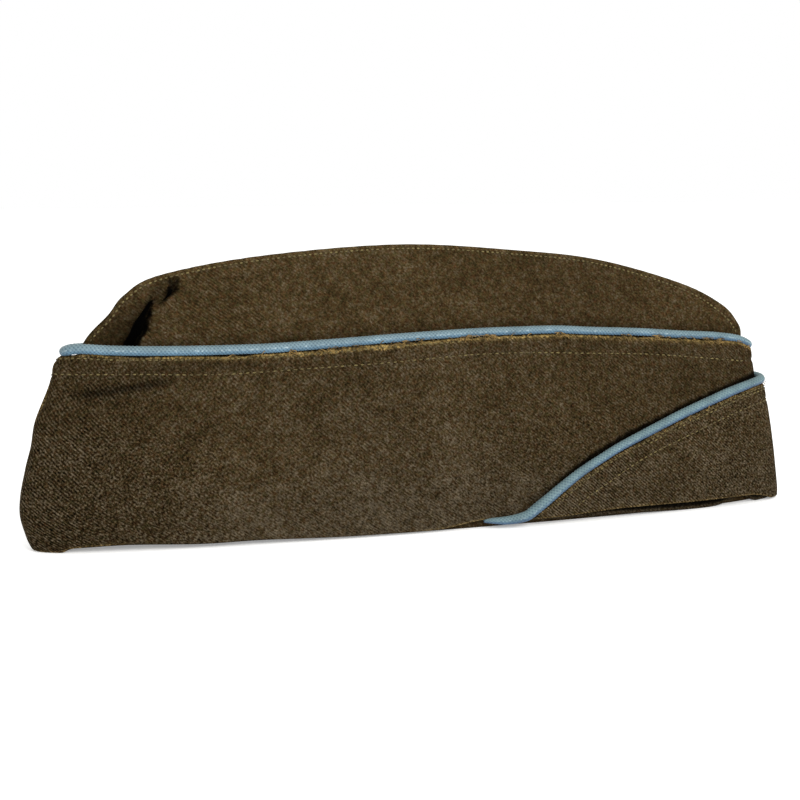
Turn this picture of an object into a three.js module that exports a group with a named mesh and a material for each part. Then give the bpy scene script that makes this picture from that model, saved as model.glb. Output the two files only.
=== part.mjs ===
// A wool side cap standing on its hem, in millimetres with +Z up.
// The front points to -X and the wearer's left to -Y. The origin is under the middle of the cap, on the
// surface that it stands on. The crown is two panels sewn together along the crest. The curtain is a turned-up
// band in two halves that meet at the front, and at the back the right half laps over the left one and ends
// in a slanting edge. One round braid is piped along the free edge of both halves.
import * as THREE from "three";

// Driving dimensions
const seamGap = 0.3; // between pieces that are sewn together
const crownWall = 1.5; // one thickness of wool
const curtainWall = 2.2; // wool with its facing
const pipingRadius = 2.1;
const crownHalfWidth = 14.3; // inside, at the middle of the hem, before its turn inwards
const hemTurn = 1; // how far the hem turns in
const hemTurnHeight = 5;
const crownTaper = 0.9; // 1 gives straight sides like a tent, less gives fuller ones
const crownFullness = 2; // seen from above: 2 is an ellipse, more has blunter ends
const curtainFullnessAtHem = 2.4;
const curtainFullnessAtTop = 3.5;
const curtainGapAtHem = 0.5; // from the crown to the curtain
const curtainGapAtTop = 1.7;
const curtainTop = 68; // usual height of the curtain's free edge
const lap = curtainWall + 0.4; // how far the right half stands outside the left one where it laps over it
const bandHalf = 140; // half of the run along one side of the curtain

// Side outline of the crown, from the front of the hem over the crest to the back of the hem
const crownOutline = [
  { x: -133.5, z: 0 },
  { x: -130, z: 30 },
  { x: -126.5, z: 56 },
  { x: -122.4, z: 69.8 },
  { x: -114, z: 79 },
  { x: -108, z: 85.4 },
  { x: -96, z: 91.9 },
  { x: -62, z: 97.9 },
  { x: -12, z: 100.8 },
  { x: 33, z: 97.8 },
  { x: 64, z: 93.6 },
  { x: 97, z: 84.3 },
  { x: 114, z: 76.3 },
  { x: 122.9, z: 64.8 },
  { x: 120.9, z: 57 },
  { x: 124.6, z: 36 },
  { x: 131.5, z: 0 },
];
const frontShoulder = 5; // rows where the crest turns down into the front and back seams
const backShoulder = 12;

// Ends of the curtain's outer face by height, without the lap
const curtainEnds = [
  { z: 0, front: -142, back: 138.6 },
  { z: 4, front: -143.8, back: 138.4 },
  { z: 14, front: -145.3, back: 136.8 },
  { z: 28, front: -142.8, back: 133.9 },
  { z: 44, front: -139.2, back: 130.2 },
  { z: 56, front: -134.4, back: 127 },
  { z: 63, front: -131.4, back: 125.2 },
  { z: 66, front: -129.2, back: 124 },
  { z: 70, front: -127.6, back: 122.4 },
];

// Free edge of each half of the curtain. The run goes straight along the cap from the front seam,
// 280 at the back, and counts on past it on the other side.
const leftEdge = [
  { run: 0, height: 64.6 },
  { run: 8, height: 65.6 },
  { run: 28, height: 65.1 },
  { run: 42, height: 65 },
  { run: 80, height: 65.8 },
  { run: 126, height: 66.4 },
  { run: 190, height: 66.8 },
  { run: 228, height: 65.4 },
  { run: 259, height: 62.1 },
  { run: 274, height: 60 },
  { run: 282, height: 58.4 },
  { run: 294, height: 54 },
  { run: 306, height: 46 },
  { run: 320, height: 36 },
];
const rightEdge = [
  { run: 0, height: 64.4 },
  { run: 8, height: 63.6 },
  { run: 60, height: 65 },
  { run: 120, height: 65.2 },
  { run: 180, height: 61.5 },
  { run: 235, height: 52 },
  { run: 282, height: 45.2 },
  { run: 302, height: 41.7 },
  { run: 320, height: 36 },
  { run: 347, height: 25.8 },
  { run: 363.5, height: 17.8 },
  { run: 372, height: 11.9 },
  { run: 378.8, height: 7.6 },
  { run: 384, height: 4.8 },
];

// How far each half's hem is lifted off the surface
const leftLift = [
  { run: 0, height: 0 },
  { run: 9, height: 0 },
  { run: 16, height: 1.3 },
  { run: 32, height: 2 },
  { run: 58, height: 1.1 },
  { run: 78, height: 1.4 },
  { run: 110, height: 0.5 },
  { run: 132, height: 0.7 },
  { run: 145, height: 2.3 },
  { run: 157, height: 3.9 },
  { run: 181, height: 3.9 },
  { run: 205, height: 0 },
  { run: 320, height: 0 },
];
const rightLift = [
  { run: 0, height: 0 },
  { run: 235, height: 0 },
  { run: 280, height: 3.2 },
  { run: 308, height: 4.4 },
  { run: 328, height: 4.8 },
  { run: 351, height: 4.2 },
  { run: 371, height: 3 },
  { run: 384, height: 2.6 },
];

// The same for the hem of the left crown panel
const crownLift = [
  { x: -133.5, height: 0 },
  { x: -126, height: 0.8 },
  { x: -110, height: 1.5 },
  { x: -85, height: 0.7 },
  { x: -65, height: 0.9 },
  { x: -35, height: 0.2 },
  { x: -15, height: 0 },
];

// End of the piping, which leaves the slanting edge and tucks in under the lifted hem of the left half.
// Depth is measured inwards from the curtain's outer face.
const pipingTail = [
  { x: 30.6, z: 6, depth: -2.5, radius: 2.1 },
  { x: 24.9, z: 4.3, depth: -2.5, radius: 2.1 },
  { x: 19.1, z: 3.4, depth: -2.2, radius: 1.8 },
  { x: 13.5, z: 2.2, depth: -0.8, radius: 1.2 },
  { x: 8, z: 1.6, depth: 0.9, radius: 0.8 },
];

// Dents pressed into the left crown panel and creases in the left half of the curtain
const crownDents = [
  { x0: -106, z0: 66, x1: -99.5, z1: 83, depth: 3, width: 3 },
  { x0: -96.5, z0: 83.5, x1: -91.5, z1: 90, depth: 2, width: 2.2 },
];
const curtainCreases = [
  { x0: -134, z0: 50, x1: -118, z1: 54, depth: 1.1, width: 4.5 },
  { x0: -118, z0: 54, x1: -98, z1: 57, depth: 0.6, width: 5 },
];

const wool = new THREE.MeshStandardMaterial({ name: "wool", color: 0x4a3d29, roughness: 0.95, metalness: 0 });
const braid = new THREE.MeshStandardMaterial({ name: "braid", color: 0x7a97a8, roughness: 0.7, metalness: 0 });

// Value of a table's column at a place, on a smooth curve through the rows
function valueAt(rows, key, column, place) {
  const last = rows.length - 1;
  if (place <= rows[0][key]) return rows[0][column];
  if (place >= rows[last][key]) return rows[last][column];
  const i = rows.findIndex((row) => row[key] > place) - 1;
  const slope = (k) => {
    const before = rows[Math.max(k - 1, 0)];
    const after = rows[Math.min(k + 1, last)];
    return (after[column] - before[column]) / (after[key] - before[key]);
  };
  const step = rows[i + 1][key] - rows[i][key];
  const t = (place - rows[i][key]) / step;
  return THREE.MathUtils.clamp(
    rows[i][column] * (1 + 2 * t) * (1 - t) ** 2 +
      rows[i + 1][column] * (3 - 2 * t) * t ** 2 +
      step * (slope(i) * t * (1 - t) ** 2 - slope(i + 1) * t ** 2 * (1 - t)),
    Math.min(rows[i][column], rows[i + 1][column]),
    Math.max(rows[i][column], rows[i + 1][column]),
  );
}

// Depth of a table's dents at a place on the side of the cap
function dentAt(dents, x, z) {
  let depth = 0;
  for (const dent of dents) {
    const line = new THREE.Line3(new THREE.Vector3(dent.x0, 0, dent.z0), new THREE.Vector3(dent.x1, 0, dent.z1));
    const place = new THREE.Vector3(x, 0, z);
    const away = line.closestPointToPoint(place, true, new THREE.Vector3()).distanceTo(place);
    depth = Math.max(depth, dent.depth * Math.exp(-((away / dent.width) ** 2)));
  }
  return depth;
}

// A closed solid through a row of rings. Each ring goes up the outer face and back down the inner one.
function loft(rings) {
  const size = rings[0].length;
  const points = rings.flat().flatMap((point) => point.toArray());
  const faces = [];
  for (let i = 0; i + 1 < rings.length; i++) {
    for (let k = 0; k < size; k++) {
      const a = i * size + k;
      const b = i * size + ((k + 1) % size);
      faces.push(a, a + size, b, b, a + size, b + size);
    }
  }
  const end = (rings.length - 1) * size;
  for (let k = 0; k + 1 < size / 2; k++) {
    const [a, b, c, d] = [k, k + 1, size - 2 - k, size - 1 - k];
    faces.push(a, b, d, b, c, d);
    faces.push(end + a, end + d, end + b, end + b, end + d, end + c);
  }
  const geometry = new THREE.BufferGeometry();
  geometry.setAttribute("position", new THREE.Float32BufferAttribute(points, 3));
  geometry.setIndex(faces);
  geometry.computeVertexNormals();
  return geometry;
}

// The same solid with its faces turned round, for a piece built on the other side of the cap
function turned(geometry) {
  const index = geometry.getIndex();
  for (let i = 0; i < index.count; i += 3) {
    const first = index.getX(i);
    index.setX(i, index.getX(i + 1));
    index.setX(i + 1, first);
  }
  geometry.computeVertexNormals();
  return geometry;
}

// Crown
const outline = new THREE.SplineCurve(crownOutline.map((row) => new THREE.Vector2(row.x, row.z)));
const outlinePoints = outline.getPoints(300);
const summit = outlinePoints.reduce((best, point, i) => (point.y > outlinePoints[best].y ? i : best), 0);
const crestHeight = outlinePoints[summit].y;
const frontBranch = outlinePoints.slice(0, summit + 1);
const backBranch = outlinePoints.slice(summit).reverse();

// Where the crown's outline crosses a height, on its front or its back
function outlineX(branch, z) {
  const i = Math.max(1, branch.findIndex((point) => point.y >= z));
  const [low, high] = [branch[i - 1], branch[i]];
  const t = THREE.MathUtils.clamp((z - low.y) / (high.y - low.y), 0, 1);
  return THREE.MathUtils.lerp(low.x, high.x, t);
}

function crownMiddleHalf(z) {
  const turn = hemTurn * Math.exp(-z / hemTurnHeight);
  return crownHalfWidth * Math.max(0, 1 - z / crestHeight) ** crownTaper - turn;
}

// Half width inside the crown at a place on its side
function crownHalf(x, z) {
  const front = outlineX(frontBranch, z);
  const back = outlineX(backBranch, z);
  const along = (2 * x - front - back) / Math.max(back - front, 1);
  return crownMiddleHalf(z) * Math.max(0, 1 - along * along) ** (1 / crownFullness);
}

// A place on the side of a panel: across goes from the front seam to the back seam, up from the hem to the crest
function panelPlace(across, up) {
  const count = crownOutline.length - 1;
  const front = frontShoulder / count;
  const back = backShoulder / count;
  const crest = outline.getPoint(THREE.MathUtils.lerp(front, back, across));
  const crestFront = outline.getPoint(front);
  const crestBack = outline.getPoint(back);
  const share = (crest.x - crestFront.x) / (crestBack.x - crestFront.x);
  const frontSeam = outline.getPoint(front * up);
  const backSeam = outline.getPoint(THREE.MathUtils.lerp(1, back, up));
  const chord = crestFront.clone().lerp(crestBack, share);
  return frontSeam.lerp(backSeam, share).addScaledVector(crest.sub(chord), up);
}

function crownPanel(side, dents, lift, columns, rows) {
  const inside = (x, z) => {
    const half = crownHalf(x, z);
    return seamGap / 2 + half - Math.min(dentAt(dents, x, z), 1.6 * half);
  };
  const reach = 1.5; // how far to each side the slope of the wall is read
  const wallPoint = (across, up, thickness) => {
    const place = panelPlace(across, up);
    const x = place.x;
    const z = place.y + (1 - up) * valueAt(lift, "x", "height", x);
    const slope = new THREE.Vector3(
      (inside(x - reach, z) - inside(x + reach, z)) / (2 * reach),
      1,
      (inside(x, z - reach) - inside(x, z + reach)) / (2 * reach),
    ).normalize();
    const level = up < 0.01 || up > 0.99 || across < 0.01 || across > 0.99;
    if (level) slope.set(0, 1, 0);
    return new THREE.Vector3(
      x + slope.x * thickness,
      side * (inside(x, z) + slope.y * thickness),
      z + slope.z * thickness,
    );
  };
  const rings = [];
  for (let i = 0; i <= columns; i++) {
    const outer = [];
    const inner = [];
    for (let j = 0; j <= rows; j++) {
      outer.push(wallPoint(i / columns, j / rows, crownWall));
      inner.unshift(wallPoint(i / columns, j / rows, 0));
    }
    rings.push([...outer, ...inner]);
  }
  return side < 0 ? loft(rings) : turned(loft(rings));
}

// Curtain
function curtainHalf(z) {
  const share = Math.min(z / curtainTop, 1);
  return crownMiddleHalf(z) + crownWall + THREE.MathUtils.lerp(curtainGapAtHem, curtainGapAtTop, share) + curtainWall;
}

// How far along the band an angle is: 0 at the front seam, a half turn at the back
function alongBand(angle) {
  const across = Math.abs(Math.sin(angle)) ** curtainFullnessAtTop;
  return -Math.sign(Math.cos(angle)) * Math.sqrt(Math.max(0, 1 - across));
}

function runAt(angle) {
  return bandHalf * (angle <= Math.PI ? 1 + alongBand(angle) : 3 - alongBand(angle));
}

function angleAt(run) {
  const past = run > 2 * bandHalf;
  const along = past ? 3 - run / bandHalf : run / bandHalf - 1;
  const quarter = Math.asin((1 - along * along) ** (1 / curtainFullnessAtTop));
  const angle = along < 0 ? quarter : Math.PI - quarter;
  return past ? 2 * Math.PI - angle : angle;
}

// Seen from above, the outer face of the band at a height
function bandPlan(side, angle, z) {
  const front = valueAt(curtainEnds, "z", "front", z);
  const back = valueAt(curtainEnds, "z", "back", z);
  const x = (front + back) / 2 + ((back - front) / 2) * alongBand(angle);
  const share = Math.min(z / curtainTop, 1);
  const fullness = THREE.MathUtils.lerp(curtainFullnessAtHem, curtainFullnessAtTop, share);
  const across = Math.abs(Math.sin(angle)) ** (curtainFullnessAtTop / fullness);
  return new THREE.Vector2(x, side * curtainHalf(z) * Math.sign(Math.sin(angle)) * across);
}

function bandNormal(side, angle, z) {
  const step = 0.01;
  const travel = bandPlan(side, angle + step, z).sub(bandPlan(side, angle - step, z));
  return new THREE.Vector2(-travel.y, travel.x).multiplyScalar(side).normalize();
}

// A point of the band: depth goes inwards from its outer face
function bandPoint(side, angle, z, depth) {
  const place = bandPlan(side, angle, z);
  const crease = side < 0 && angle < Math.PI ? dentAt(curtainCreases, place.x, z) : 0;
  place.addScaledVector(bandNormal(side, angle, z), -depth - crease);
  return new THREE.Vector3(place.x, place.y, z);
}

const left = { side: -1, edge: leftEdge, lift: leftLift, lapAt: () => 0 };
const right = {
  side: 1,
  edge: rightEdge,
  lift: rightLift,
  lapAt: (run) => lap * THREE.MathUtils.smoothstep(run, 185, 232),
};

function curtainHalfBand(half, columns, rows) {
  const start = 0.04; // leaves the seam gap at the front
  const end = angleAt(half.edge[half.edge.length - 1].run);
  const rings = [];
  for (let i = 0; i <= columns; i++) {
    const angle = THREE.MathUtils.lerp(start, end, i / columns);
    const run = runAt(angle);
    const low = valueAt(half.lift, "run", "height", run);
    const high = valueAt(half.edge, "run", "height", run);
    const outer = [];
    const inner = [];
    for (let j = 0; j <= rows; j++) {
      const z = THREE.MathUtils.lerp(low, high, j / rows);
      outer.push(bandPoint(half.side, angle, z, -half.lapAt(run)));
      inner.unshift(bandPoint(half.side, angle, z, curtainWall - half.lapAt(run)));
    }
    rings.push([...outer, ...inner]);
  }
  return half.side < 0 ? loft(rings) : turned(loft(rings));
}

// Piping
// Centre and radius of the braid along one half's free edge, between two runs
function edgeStations(half, from, to, count, radiusAt) {
  const stations = [];
  for (let i = 0; i <= count; i++) {
    const angle = THREE.MathUtils.lerp(angleAt(from), angleAt(to), i / count);
    const at = (turn) => {
      const run = runAt(turn);
      const depth = curtainWall - half.lapAt(run) - Math.max(radiusAt(run), curtainWall / 2);
      return bandPoint(half.side, turn, valueAt(half.edge, "run", "height", run), depth);
    };
    const travel = at(angle + 0.01).sub(at(angle - 0.01)).normalize();
    const outward = bandNormal(half.side, angle, valueAt(half.edge, "run", "height", runAt(angle)));
    const away = new THREE.Vector3(outward.x, outward.y, 0).cross(travel).multiplyScalar(-half.side).normalize();
    const radius = radiusAt(runAt(angle));
    stations.push({ centre: at(angle).addScaledVector(away, radius + seamGap), radius });
  }
  return stations;
}

function pipingStations() {
  const leftRadius = (run) =>
    pipingRadius -
    0.3 * THREE.MathUtils.smoothstep(run, 250, 276) -
    0.9 * THREE.MathUtils.smoothstep(run, 280, 294);
  const rightRadius = (run) => pipingRadius - 0.4 * Math.exp(-(((run - 282) / 12) ** 2));
  const alongLeft = edgeStations(left, 312, 1, 60, leftRadius);
  const alongRight = edgeStations(right, 1, 382, 76, rightRadius);
  const tail = pipingTail.map((row) => {
    const angle = Math.PI * 2 - angleAt(bandHalf + row.x + 1.2);
    return { centre: bandPoint(right.side, angle, row.z, row.depth), radius: row.radius };
  });
  return [...alongLeft, ...alongRight, ...tail];
}

function piping(stations, steps, sides) {
  const path = new THREE.CatmullRomCurve3(stations.map((station) => station.centre));
  const frames = path.computeFrenetFrames(steps, false);
  const rings = [];
  for (let i = 0; i <= steps; i++) {
    const centre = path.getPointAt(i / steps);
    const place = path.getUtoTmapping(i / steps) * (stations.length - 1);
    const k = Math.min(Math.floor(place), stations.length - 2);
    const radius = THREE.MathUtils.lerp(stations[k].radius, stations[k + 1].radius, place - k);
    const ring = [];
    for (let s = 0; s < sides; s++) {
      const turn = (2 * Math.PI * s) / sides;
      ring.push(
        centre
          .clone()
          .addScaledVector(frames.normals[i], radius * Math.cos(turn))
          .addScaledVector(frames.binormals[i], radius * Math.sin(turn)),
      );
    }
    rings.push(ring);
  }
  return turned(loft(rings));
}

function piece(name, geometry, material) {
  const mesh = new THREE.Mesh(geometry, material);
  mesh.name = name;
  return mesh;
}

const cap = new THREE.Group();
cap.add(
  piece("crown_left", crownPanel(-1, crownDents, crownLift, 54, 14), wool),
  piece("crown_right", crownPanel(1, [], [{ x: 0, height: 0 }], 36, 9), wool),
  piece("curtain_left", curtainHalfBand(left, 60, 7), wool),
  piece("curtain_right", curtainHalfBand(right, 72, 7), wool),
  piece("piping", piping(pipingStations(), 130, 8), braid),
);

// The origin goes under the middle of the whole cap, on the surface that it stands on
const box = new THREE.Box3().setFromObject(cap);
const middle = box.getCenter(new THREE.Vector3());
for (const mesh of cap.children) {
  mesh.geometry.translate(-middle.x, -middle.y, -box.min.z);
}

export default cap;
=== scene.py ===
# Folding wool side cap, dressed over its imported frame.
# Sizes are in millimetres in the pattern's own place; meshes are moved to the frame's place when made.
import math
from functools import partial
import bpy
import numpy as np
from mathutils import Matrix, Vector


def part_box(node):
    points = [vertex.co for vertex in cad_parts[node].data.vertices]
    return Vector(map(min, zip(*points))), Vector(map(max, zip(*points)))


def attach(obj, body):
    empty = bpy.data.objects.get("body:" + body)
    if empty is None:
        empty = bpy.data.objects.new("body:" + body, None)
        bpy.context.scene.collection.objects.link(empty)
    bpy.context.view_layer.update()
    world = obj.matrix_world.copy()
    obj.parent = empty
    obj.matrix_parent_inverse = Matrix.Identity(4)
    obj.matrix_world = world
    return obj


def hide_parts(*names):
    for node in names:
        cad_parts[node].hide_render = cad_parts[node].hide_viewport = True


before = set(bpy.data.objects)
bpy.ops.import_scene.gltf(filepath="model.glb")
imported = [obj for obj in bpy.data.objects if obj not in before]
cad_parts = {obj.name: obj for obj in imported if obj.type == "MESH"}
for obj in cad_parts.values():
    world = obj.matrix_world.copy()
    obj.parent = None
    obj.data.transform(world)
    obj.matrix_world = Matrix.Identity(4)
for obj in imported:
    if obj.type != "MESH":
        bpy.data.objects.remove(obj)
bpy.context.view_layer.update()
mm = 0.001
pathStep = 0.5              # between the points of cords and rows of stitching
scene = bpy.context.scene
print("frame loaded:", sorted(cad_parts))

# Crown: two panels sewn together along the front seam, the crest and the back seam
crown = {
    "wall": 1.5,
    "seamGap": 0.3,
    "halfWidth": 14.3,      # inside, at the middle of the hem
    "hemTurn": 1.0,
    "hemTurnHeight": 5.0,
    "taper": 0.9,
    "outline": [            # x, z from the front of the hem over the crest to the back of the hem
        (-133.5, 0), (-130, 30), (-126.5, 56), (-122, 69.5), (-113.6, 78.7), (-108.2, 85.3), (-96.3, 91.7),
        (-62, 97.5), (-12, 100.6), (33, 97.6), (64, 93.6), (97, 84.3), (114.3, 75.9), (121.2, 69),
        (122.9, 64), (121.4, 57), (124.6, 36), (131.5, 0),
    ],
    "frontShoulder": 5,     # rows where the crest turns down into the front and back seams
    "backShoulder": 12,
    "lifts": {              # by side: x, height of the panel's hem
        -1: [(-133.5, 0), (-126, 0.8), (-110, 1.5), (-85, 0.7), (-65, 0.9), (-35, 0.2), (-15, 0)],
        1: [(0, 0), (1, 0)],
    },
    "folds": [              # pressed into the left panel
        {
            "rows": [       # z, middle x, half width, shade
                (50, -113.8, 2.7, 1), (60, -110.2, 2.7, 1), (69.2, -106.3, 2.7, 1), (73.5, -103.6, 2.8, 1),
                (77, -102, 2.5, 1), (80, -100.6, 1.7, 1), (82.5, -99.8, 1.1, 1), (84.6, -99, 0.7, 1),
            ],
            "depth": 4.2,
            "fade": 1.8,    # at both ends
            "lip": (1.05, 1.3),         # where the shade ends behind the middle, in half widths
            "blotched": (-0.5, 0.3),    # where it starts to be blotched
            "slope": 0.09,  # shade on the slope in front
        },
        {
            "rows": [
                (80.4, -96.8, 1.3, 0.9), (83.4, -94.5, 1.5, 1.0), (85, -92.7, 1.7, 1.25),
                (86.3, -92, 1.8, 1.2), (87.8, -91.9, 1.7, 0.9), (89.5, -91.7, 1.6, 0.65),
                (92, -91.8, 1.4, 0.35),
            ],
            "depth": 2.2,
            "fade": 2.6,
            "lip": (0.6, 1.4),
            "blotched": (-3, -2),
            "slope": 0.16,
        },
    ],
    "creases": [            # x z to x z, depth, width: soft ones
        (-118, 72, -112, 80, 0.35, 3.5),
        (18, 89, 46, 88.5, 0.3, 1.6),
        (-60, 74, -30, 90, 0.25, 6),
        (70, 70, 92, 82, 0.3, 5),
    ],
    # darker in places: soil and painted shade
    "soilAndShade": [               # amount, then the spans of x and of z over which it comes from nothing to full
        (0.8, [(-90, -118)], []), (0.3, [(10, 45), (95, 60)], []),
    ],
    "seeds": {-1: 11, 1: 23},       # by side: left, right
    "panelHeight": 97.0,    # lengths that the mesh's rows and columns are shared out over
    "crestLength": 242.0,
    "steps": {-1: 0.85, 1: 1.3},    # distance between rows and columns, by side
    "seenDepth": 46,        # below the crest; further down the rows lie wide apart
    "hiddenStep": 2.5,
    "grain": -8,            # degrees that the cloth is turned by
    "seamRound": 1.5,       # radius of the turn into the seams
    "hemRound": 0.8,
    "overlap": 0.03,        # the panels reach into each other along the seams
    "steepest": 0.8,        # slope up to which the cloth's thickness is square to its face
    "welts": [              # x, from the seam to its edge stitching
        (-120, 1.2), (-20, 1.3), (60, 1.5), (100, 2.2), (116, 3.3),
    ],
    "welt": 0.3,
    "groove": 0.35,
}

# Curtain: a turned-up band in two halves, the right one lapping round the back over the left one
curtain = {
    "wall": 2.2,
    "gapAtHem": 0.5,
    "gapAtTop": 1.7,
    "top": 68.0,
    "lap": 2.6,
    "bandHalf": 140.0,      # half the plan's length
    "runShift": 1.2,        # from x, counted from the front seam, to the run beside it
    "fullnessAtHem": 2.4,
    "fullnessAtTop": 3.5,
    "start": 0.002,         # angle at the front seam
    "ends": [               # z, front x, back x of the outer face
        (0, -141.4, 138.6), (4, -143.2, 138.4), (14, -145.1, 136.8), (28, -142.7, 133.9), (36, -140.4, 132.1),
        (44, -138.8, 130.2), (56, -133.7, 127.6), (63, -131.7, 126), (66, -129.8, 124.9), (70, -128, 123.2),
    ],
    "edgeRound": 1.0,
    "edgeRise": 0.2,        # the soft edge swells up against the braid
    "groove": 0.32,
    "grooveWidth": 0.75,
}
leftHalf = {
    "side": -1,
    "seed": 37,
    "step": 0.85,           # distance between rows and columns
    "grain": -6,            # degrees that the cloth is turned by
    "frays": (20, 278),     # first and last run with loose fibres
    "edge": [               # run from the front seam, height of the free edge
        (0, 66.3), (7, 66.6), (15, 66.1), (30, 65.5), (60, 65.05), (80, 65.2), (100, 66.05), (120, 67),
        (147, 67.9), (165, 68.2), (190, 68.1), (205, 67.2), (228, 65.9), (244, 64.5), (259, 63.4),
        (268, 62.3), (273, 61.3), (276, 60.2), (279, 58.7), (283, 56.9), (294, 51.8), (306, 44.8),
        (320, 36.4),
    ],
    "lift": [               # run, height of the hem
        (0, 0), (9, 0), (11.6, 1), (14, 1.6), (24, 2.3), (35, 2.5), (50, 1.6), (61, 1.4), (72, 1.7),
        (83, 1.4), (105, 0.8), (128, 0.7), (140, 1), (156, 3.2), (166, 3.2), (176, 1.8), (205, 1.2),
        (225, 0.5), (245, 0), (252, 0.3), (257, 1.6), (261, 2.6), (265, 2.4), (268, 0.8), (271, 0), (320, 0),
    ],
    "laps": (1e6, 2e6),     # nowhere
    "frayed": [             # run, how far the cloth has frayed back from the braid
        (0, 0.4), (3, 0.4), (7, -0.25), (13, -0.3), (18, -0.15), (25, 0.1), (42, 0), (56, 0.25), (68, 0.15),
        (85, 0), (115, 0), (128, 0.2), (145, 0), (180, 0.1), (205, 0), (235, 0), (250, 0.15), (260, 0.25),
        (266, -0.1), (271, -0.8), (275, -1.1), (281, -1.1), (286, -0.7), (292, -0.3),
    ],
    "bare": [               # run, how far the nap has worn off along the free edge
        (0, 0.3), (9, 0.3), (12, 0.9), (15, 0.7), (19, 0.3), (33, 0.4), (36, 1.2), (42, 1.2), (45, 0.7),
        (48, 0.7), (50, 1.25), (56, 1.2), (60, 1), (66, 1.2), (90, 1), (130, 1), (180, 1.2), (215, 1.1),
        (232, 0.9), (290, 0.8),
    ],
    "stitching": [          # run, height of the stitch row
        (4, 60.2), (28, 59.7), (56, 58.8), (68, 58.9), (94, 59.7), (122, 60.6), (151, 62), (163, 62.2),
        (179, 62), (204, 60.8), (226, 59.7), (240, 58.5), (265, 55.7), (274, 54.5),
    ],
    "creases": [            # x z to x z, depth, width
        (-134, 50, -118, 54, 1.0, 4.5), (-118, 54, -98, 57, 0.5, 5), (-112, 42, -104, 54, 0.35, 4),
        (-96, 30, -90, 52, 0.25, 6), (-138, 26, -122, 40, 0.3, 6), (30, 20, 44, 42, 0.25, 8),
    ],
    # darker in places: soil and painted shade, lighter where the amount is below nothing
    "soilAndShade": [               # amount, then the spans of x and of z over which it comes from nothing to full
        (1.1, [(-76, -124)], []), (-0.22, [(-76, -124)], [(32, 45)]), (0.3, [(0, 22)], []),
        (0.1, [(45, 62)], []), (0.22, [(68, 90)], []), (0.3, [(-108, -85), (10, -30)], [(28, 42)]),
        (0.5, [(-115, -100), (-60, -72)], [(59, 60.5)]), (0.3, [(-5, 10), (75, 60)], [(61, 63)]),
    ],
    "nap": [                # the same for yarns that stand out
        (0.3, [(-85, -115)], []), (0.25, [(-20, 40)], [(46, 32)]), (0.45, [(-66, -92)], [(48, 28)]),
        (0.25, [(-105, -125)], [(48, 28)]),
    ],
    "ashen": 0.34,          # grey fibres near the hem
}
rightHalf = {
    "side": 1,
    "seed": 53,
    "step": 1.0,
    "grain": 0,
    "frays": (276, 340),
    "edge": [
        (0, 66), (8, 65.6), (60, 65.4), (120, 65.6), (180, 61.9), (235, 52.4), (282, 45.3), (292, 43.3),
        (302, 40.7), (320, 35.2), (330, 31.6), (347, 25.2), (355, 21.5), (363.5, 17.2), (372, 12),
        (378.8, 7.6), (384, 4.4),
    ],
    "lift": [
        (0, 0), (262, 0), (276, 0.2), (283.5, 0.6), (287, 1.9), (291, 2.9), (295, 3.4), (317, 3.6),
        (335, 3.8), (351, 3.9), (371, 2.9), (384, 2.6),
    ],
    "laps": (185, 232),     # runs where the right half rises over the left one
    "frayed": [(0, 0.4), (3, 0.5), (7, 0.2), (18, 0)],
    "bare": [(0, 0.1), (40, 0.1), (70, 0.3)],
    "creases": [],
    # darker in places, most on the flap: soil and painted shade
    "soilAndShade": [
        (1.1, [(-76, -124)], []), (-0.22, [(-76, -124)], [(32, 45)]), (0.4, [(0, 75)], []),
        (0.14, [(95, 120)], []),
    ],
    "nap": [                # by run, not by x
        (0.3, [(270, 300)], []), (0.4, [(255, 275), (330, 305)], []),
    ],
    "ashen": 0.25,
}

# Where the pattern stands in the frame
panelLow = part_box("crown_left")[0]
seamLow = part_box("crown_right")[0]
capPlace = np.array([panelLow.x / mm - crown["outline"][0][0], seamLow.y / mm - crown["seamGap"] / 2, 0.0])


def tableCurve(rows, place, column=1):
    # smooth curve through a table's rows that never leaves the range of its neighbours
    keys = np.array([row[0] for row in rows], float)
    values = np.array([row[column] for row in rows], float)
    slopes = np.empty_like(values)
    slopes[1:-1] = (values[2:] - values[:-2]) / (keys[2:] - keys[:-2])
    slopes[0] = (values[1] - values[0]) / (keys[1] - keys[0])
    slopes[-1] = (values[-1] - values[-2]) / (keys[-1] - keys[-2])
    place = np.clip(np.asarray(place, float), keys[0], keys[-1])
    i = np.clip(np.searchsorted(keys, place, side="right") - 1, 0, len(keys) - 2)
    step = keys[i + 1] - keys[i]
    t = (place - keys[i]) / step
    curve = values[i] * (1 + 2 * t) * (1 - t) ** 2 + values[i + 1] * (3 - 2 * t) * t**2
    curve += step * (slopes[i] * t * (1 - t) ** 2 - slopes[i + 1] * t**2 * (1 - t))
    return np.clip(curve, np.minimum(values[i], values[i + 1]), np.maximum(values[i], values[i + 1]))


def softStep(place, none, full):
    # 0 at one end of a span and 1 at the other, either way round
    share = np.clip((np.asarray(place, float) - none) / (full - none), 0, 1)
    return share * share * (3 - 2 * share)


def bell(away, width):
    return np.exp(-((away / width) ** 2))


def unit(rows):
    return rows / np.linalg.norm(rows, axis=1, keepdims=True)


def softAreas(rows, x, z):
    # sum of soft-edged areas
    total = 0 * x
    for amount, spansX, spansZ in rows:
        area = amount + 0 * x
        for span in spansX:
            area *= softStep(x, *span)
        for span in spansZ:
            area *= softStep(z, *span)
        total += area
    return total


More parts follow.
